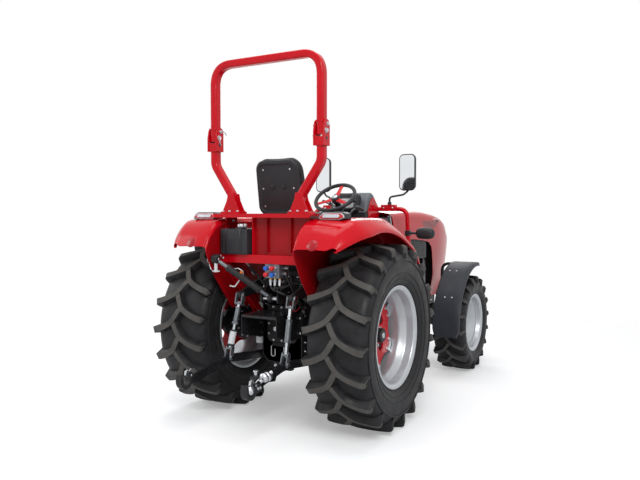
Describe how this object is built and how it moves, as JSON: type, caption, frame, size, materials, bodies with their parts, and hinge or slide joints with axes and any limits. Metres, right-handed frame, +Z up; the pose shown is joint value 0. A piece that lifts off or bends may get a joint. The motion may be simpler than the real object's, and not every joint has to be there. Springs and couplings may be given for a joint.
{
  "type": "farm tractor",
  "caption": "Compact farm tractor with open station, folding roll bar, lifting hood, steered front wheels, lugged tyres and a rear three-point hitch with a driven output shaft.",
  "frame": {"origin": "on the ground, at the centre of the tractor's length and width", "axes": "+Y forward, +X the operator's right, +Z up"},
  "size_m": [1.5826, 3.387, 2.3809],
  "materials": {
    "red_paint": "high gloss",
    "black_paint": "satin",
    "cast_black": "painted casting",
    "silver_paint": "satin",
    "tyre_rubber": "matte",
    "steel": "zinc plated",
    "black_plastic": "grained",
    "grey_plastic": "grained",
    "seat_vinyl": "vinyl",
    "lamp_red": "clear moulded",
    "mirror_glass": "mirror"
  },
  "bodies": {
    "chassis": {"transmission_case": "cast_black", "rear_axle": "cast_black", "engine_block": "cast_black", "front_frame": "cast_black", "front_axle": "cast_black", "radiator": "black_paint", "deck": "black_paint", "dash_cowl": "red_paint", "instrument_panel": "grey_plastic", "seat_frame": "black_plastic", "seat_cushion": "seat_vinyl", "seat_back": "seat_vinyl", "rear_fender_left": "red_paint", "rear_fender_right": "red_paint", "rear_frame": "red_paint", "rops_lower": "red_paint", "fuel_tank": "black_plastic", "remote_valves": "steel", "tail_lamps": "lamp_red", "handrails": "red_paint", "mirrors": "black_plastic", "turn_lamps": "black_plastic", "controls": "black_plastic", "pto_guard": "black_paint", "drawbar": "black_paint", "top_link": "black_paint"},
    "rear_wheel_left": {"rear_tyre_left": "tyre_rubber", "rear_rim_left": "silver_paint", "rear_disc_left": "red_paint"},
    "rear_wheel_right": {"rear_tyre_right": "tyre_rubber", "rear_rim_right": "silver_paint", "rear_disc_right": "red_paint"},
    "knuckle_left": {"knuckle_left": "cast_black", "front_fender_left": "black_plastic"},
    "knuckle_right": {"knuckle_right": "cast_black", "front_fender_right": "black_plastic"},
    "front_wheel_left": {"front_tyre_left": "tyre_rubber", "front_rim_left": "silver_paint"},
    "front_wheel_right": {"front_tyre_right": "tyre_rubber", "front_rim_right": "silver_paint"},
    "steering_rod": {"steering_rod": "steel"},
    "steering_wheel": {"steering_wheel": "black_plastic"},
    "hood": {"hood_shell": "red_paint", "hood_grille": "black_plastic"},
    "roll_bar_top": {"rops_upper": "red_paint"},
    "lift_arms": {"lift_arms": "black_paint"},
    "lift_rods": {"lift_rods": "steel"},
    "lower_links": {"lower_links": "black_paint"},
    "pto_shaft": {"pto_shaft": "steel"}
  },
  "joints": [
    {"name": "rear_wheel_left_spin", "type": "hinge", "parent": "chassis", "child": "rear_wheel_left", "pos_m": [-0.585, -0.76, 0.593], "axis": [-1, 0, 0], "continuous": true},
    {"name": "rear_wheel_right_spin", "type": "hinge", "parent": "chassis", "child": "rear_wheel_right", "pos_m": [0.585, -0.76, 0.593], "axis": [-1, 0, 0], "continuous": true},
    {"name": "steer_left", "type": "hinge", "parent": "chassis", "child": "knuckle_left", "pos_m": [-0.4, 1.09, 0.415], "axis": [0, 0, 1], "range_deg": [-35, 35]},
    {"name": "steer_right", "type": "hinge", "parent": "chassis", "child": "knuckle_right", "pos_m": [0.4, 1.09, 0.415], "axis": [0, 0, 1], "range_deg": [-35, 35]},
    {"name": "front_wheel_left_spin", "type": "hinge", "parent": "knuckle_left", "child": "front_wheel_left", "pos_m": [-0.58, 1.09, 0.415], "axis": [-1, 0, 0], "continuous": true},
    {"name": "front_wheel_right_spin", "type": "hinge", "parent": "knuckle_right", "child": "front_wheel_right", "pos_m": [0.58, 1.09, 0.415], "axis": [-1, 0, 0], "continuous": true},
    {"name": "steering_rod_slide", "type": "slide", "parent": "chassis", "child": "steering_rod", "axis": [1, 0, 0], "range_m": [-0.09, 0.09]},
    {"name": "steering_wheel_turn", "type": "hinge", "parent": "chassis", "child": "steering_wheel", "pos_m": [0, -0.21, 1.5], "axis": [0, -0.6428, 0.766], "range_deg": [-540, 540]},
    {"name": "hood_lift", "type": "hinge", "parent": "chassis", "child": "hood", "pos_m": [0, 0.27, 1.36], "axis": [1, 0, 0], "range_deg": [0, 50]},
    {"name": "roll_bar_fold", "type": "hinge", "parent": "chassis", "child": "roll_bar_top", "pos_m": [0, -1.14, 1.88], "axis": [1, 0, 0], "range_deg": [0, 100]},
    {"name": "lift_arms_raise", "type": "hinge", "parent": "chassis", "child": "lift_arms", "pos_m": [0, -0.88, 0.905], "axis": [-1, 0, 0], "range_deg": [-15, 50]},
    {"name": "lower_links_raise", "type": "hinge", "parent": "chassis", "child": "lower_links", "pos_m": [0, -0.81, 0.4], "axis": [-1, 0, 0], "range_deg": [-9.1, 30.1]},
    {"name": "lift_rods_swing", "type": "hinge", "parent": "lift_arms", "child": "lift_rods", "pos_m": [0, -1.14, 0.845], "axis": [-1, 0, 0], "range_deg": [-56.1, 16.9]},
    {"name": "pto_spin", "type": "hinge", "parent": "chassis", "child": "pto_shaft", "pos_m": [0, -0.95, 0.62], "axis": [0, 1, 0], "continuous": true}
  ],
  "couplings": [
    {"joint": "steer_right", "follows": "steer_left", "ratio": 1},
    {"joint": "steering_rod_slide", "follows": "steer_left", "m_per_rad": 0.1412},
    {"joint": "steering_wheel_turn", "follows": "steer_left", "ratio": 15.4},
    {"joint": "lower_links_raise", "follows": "lift_arms_raise", "ratio": 0.6},
    {"joint": "lift_rods_swing", "follows": "lift_arms_raise", "ratio": -1.12}
  ]
}
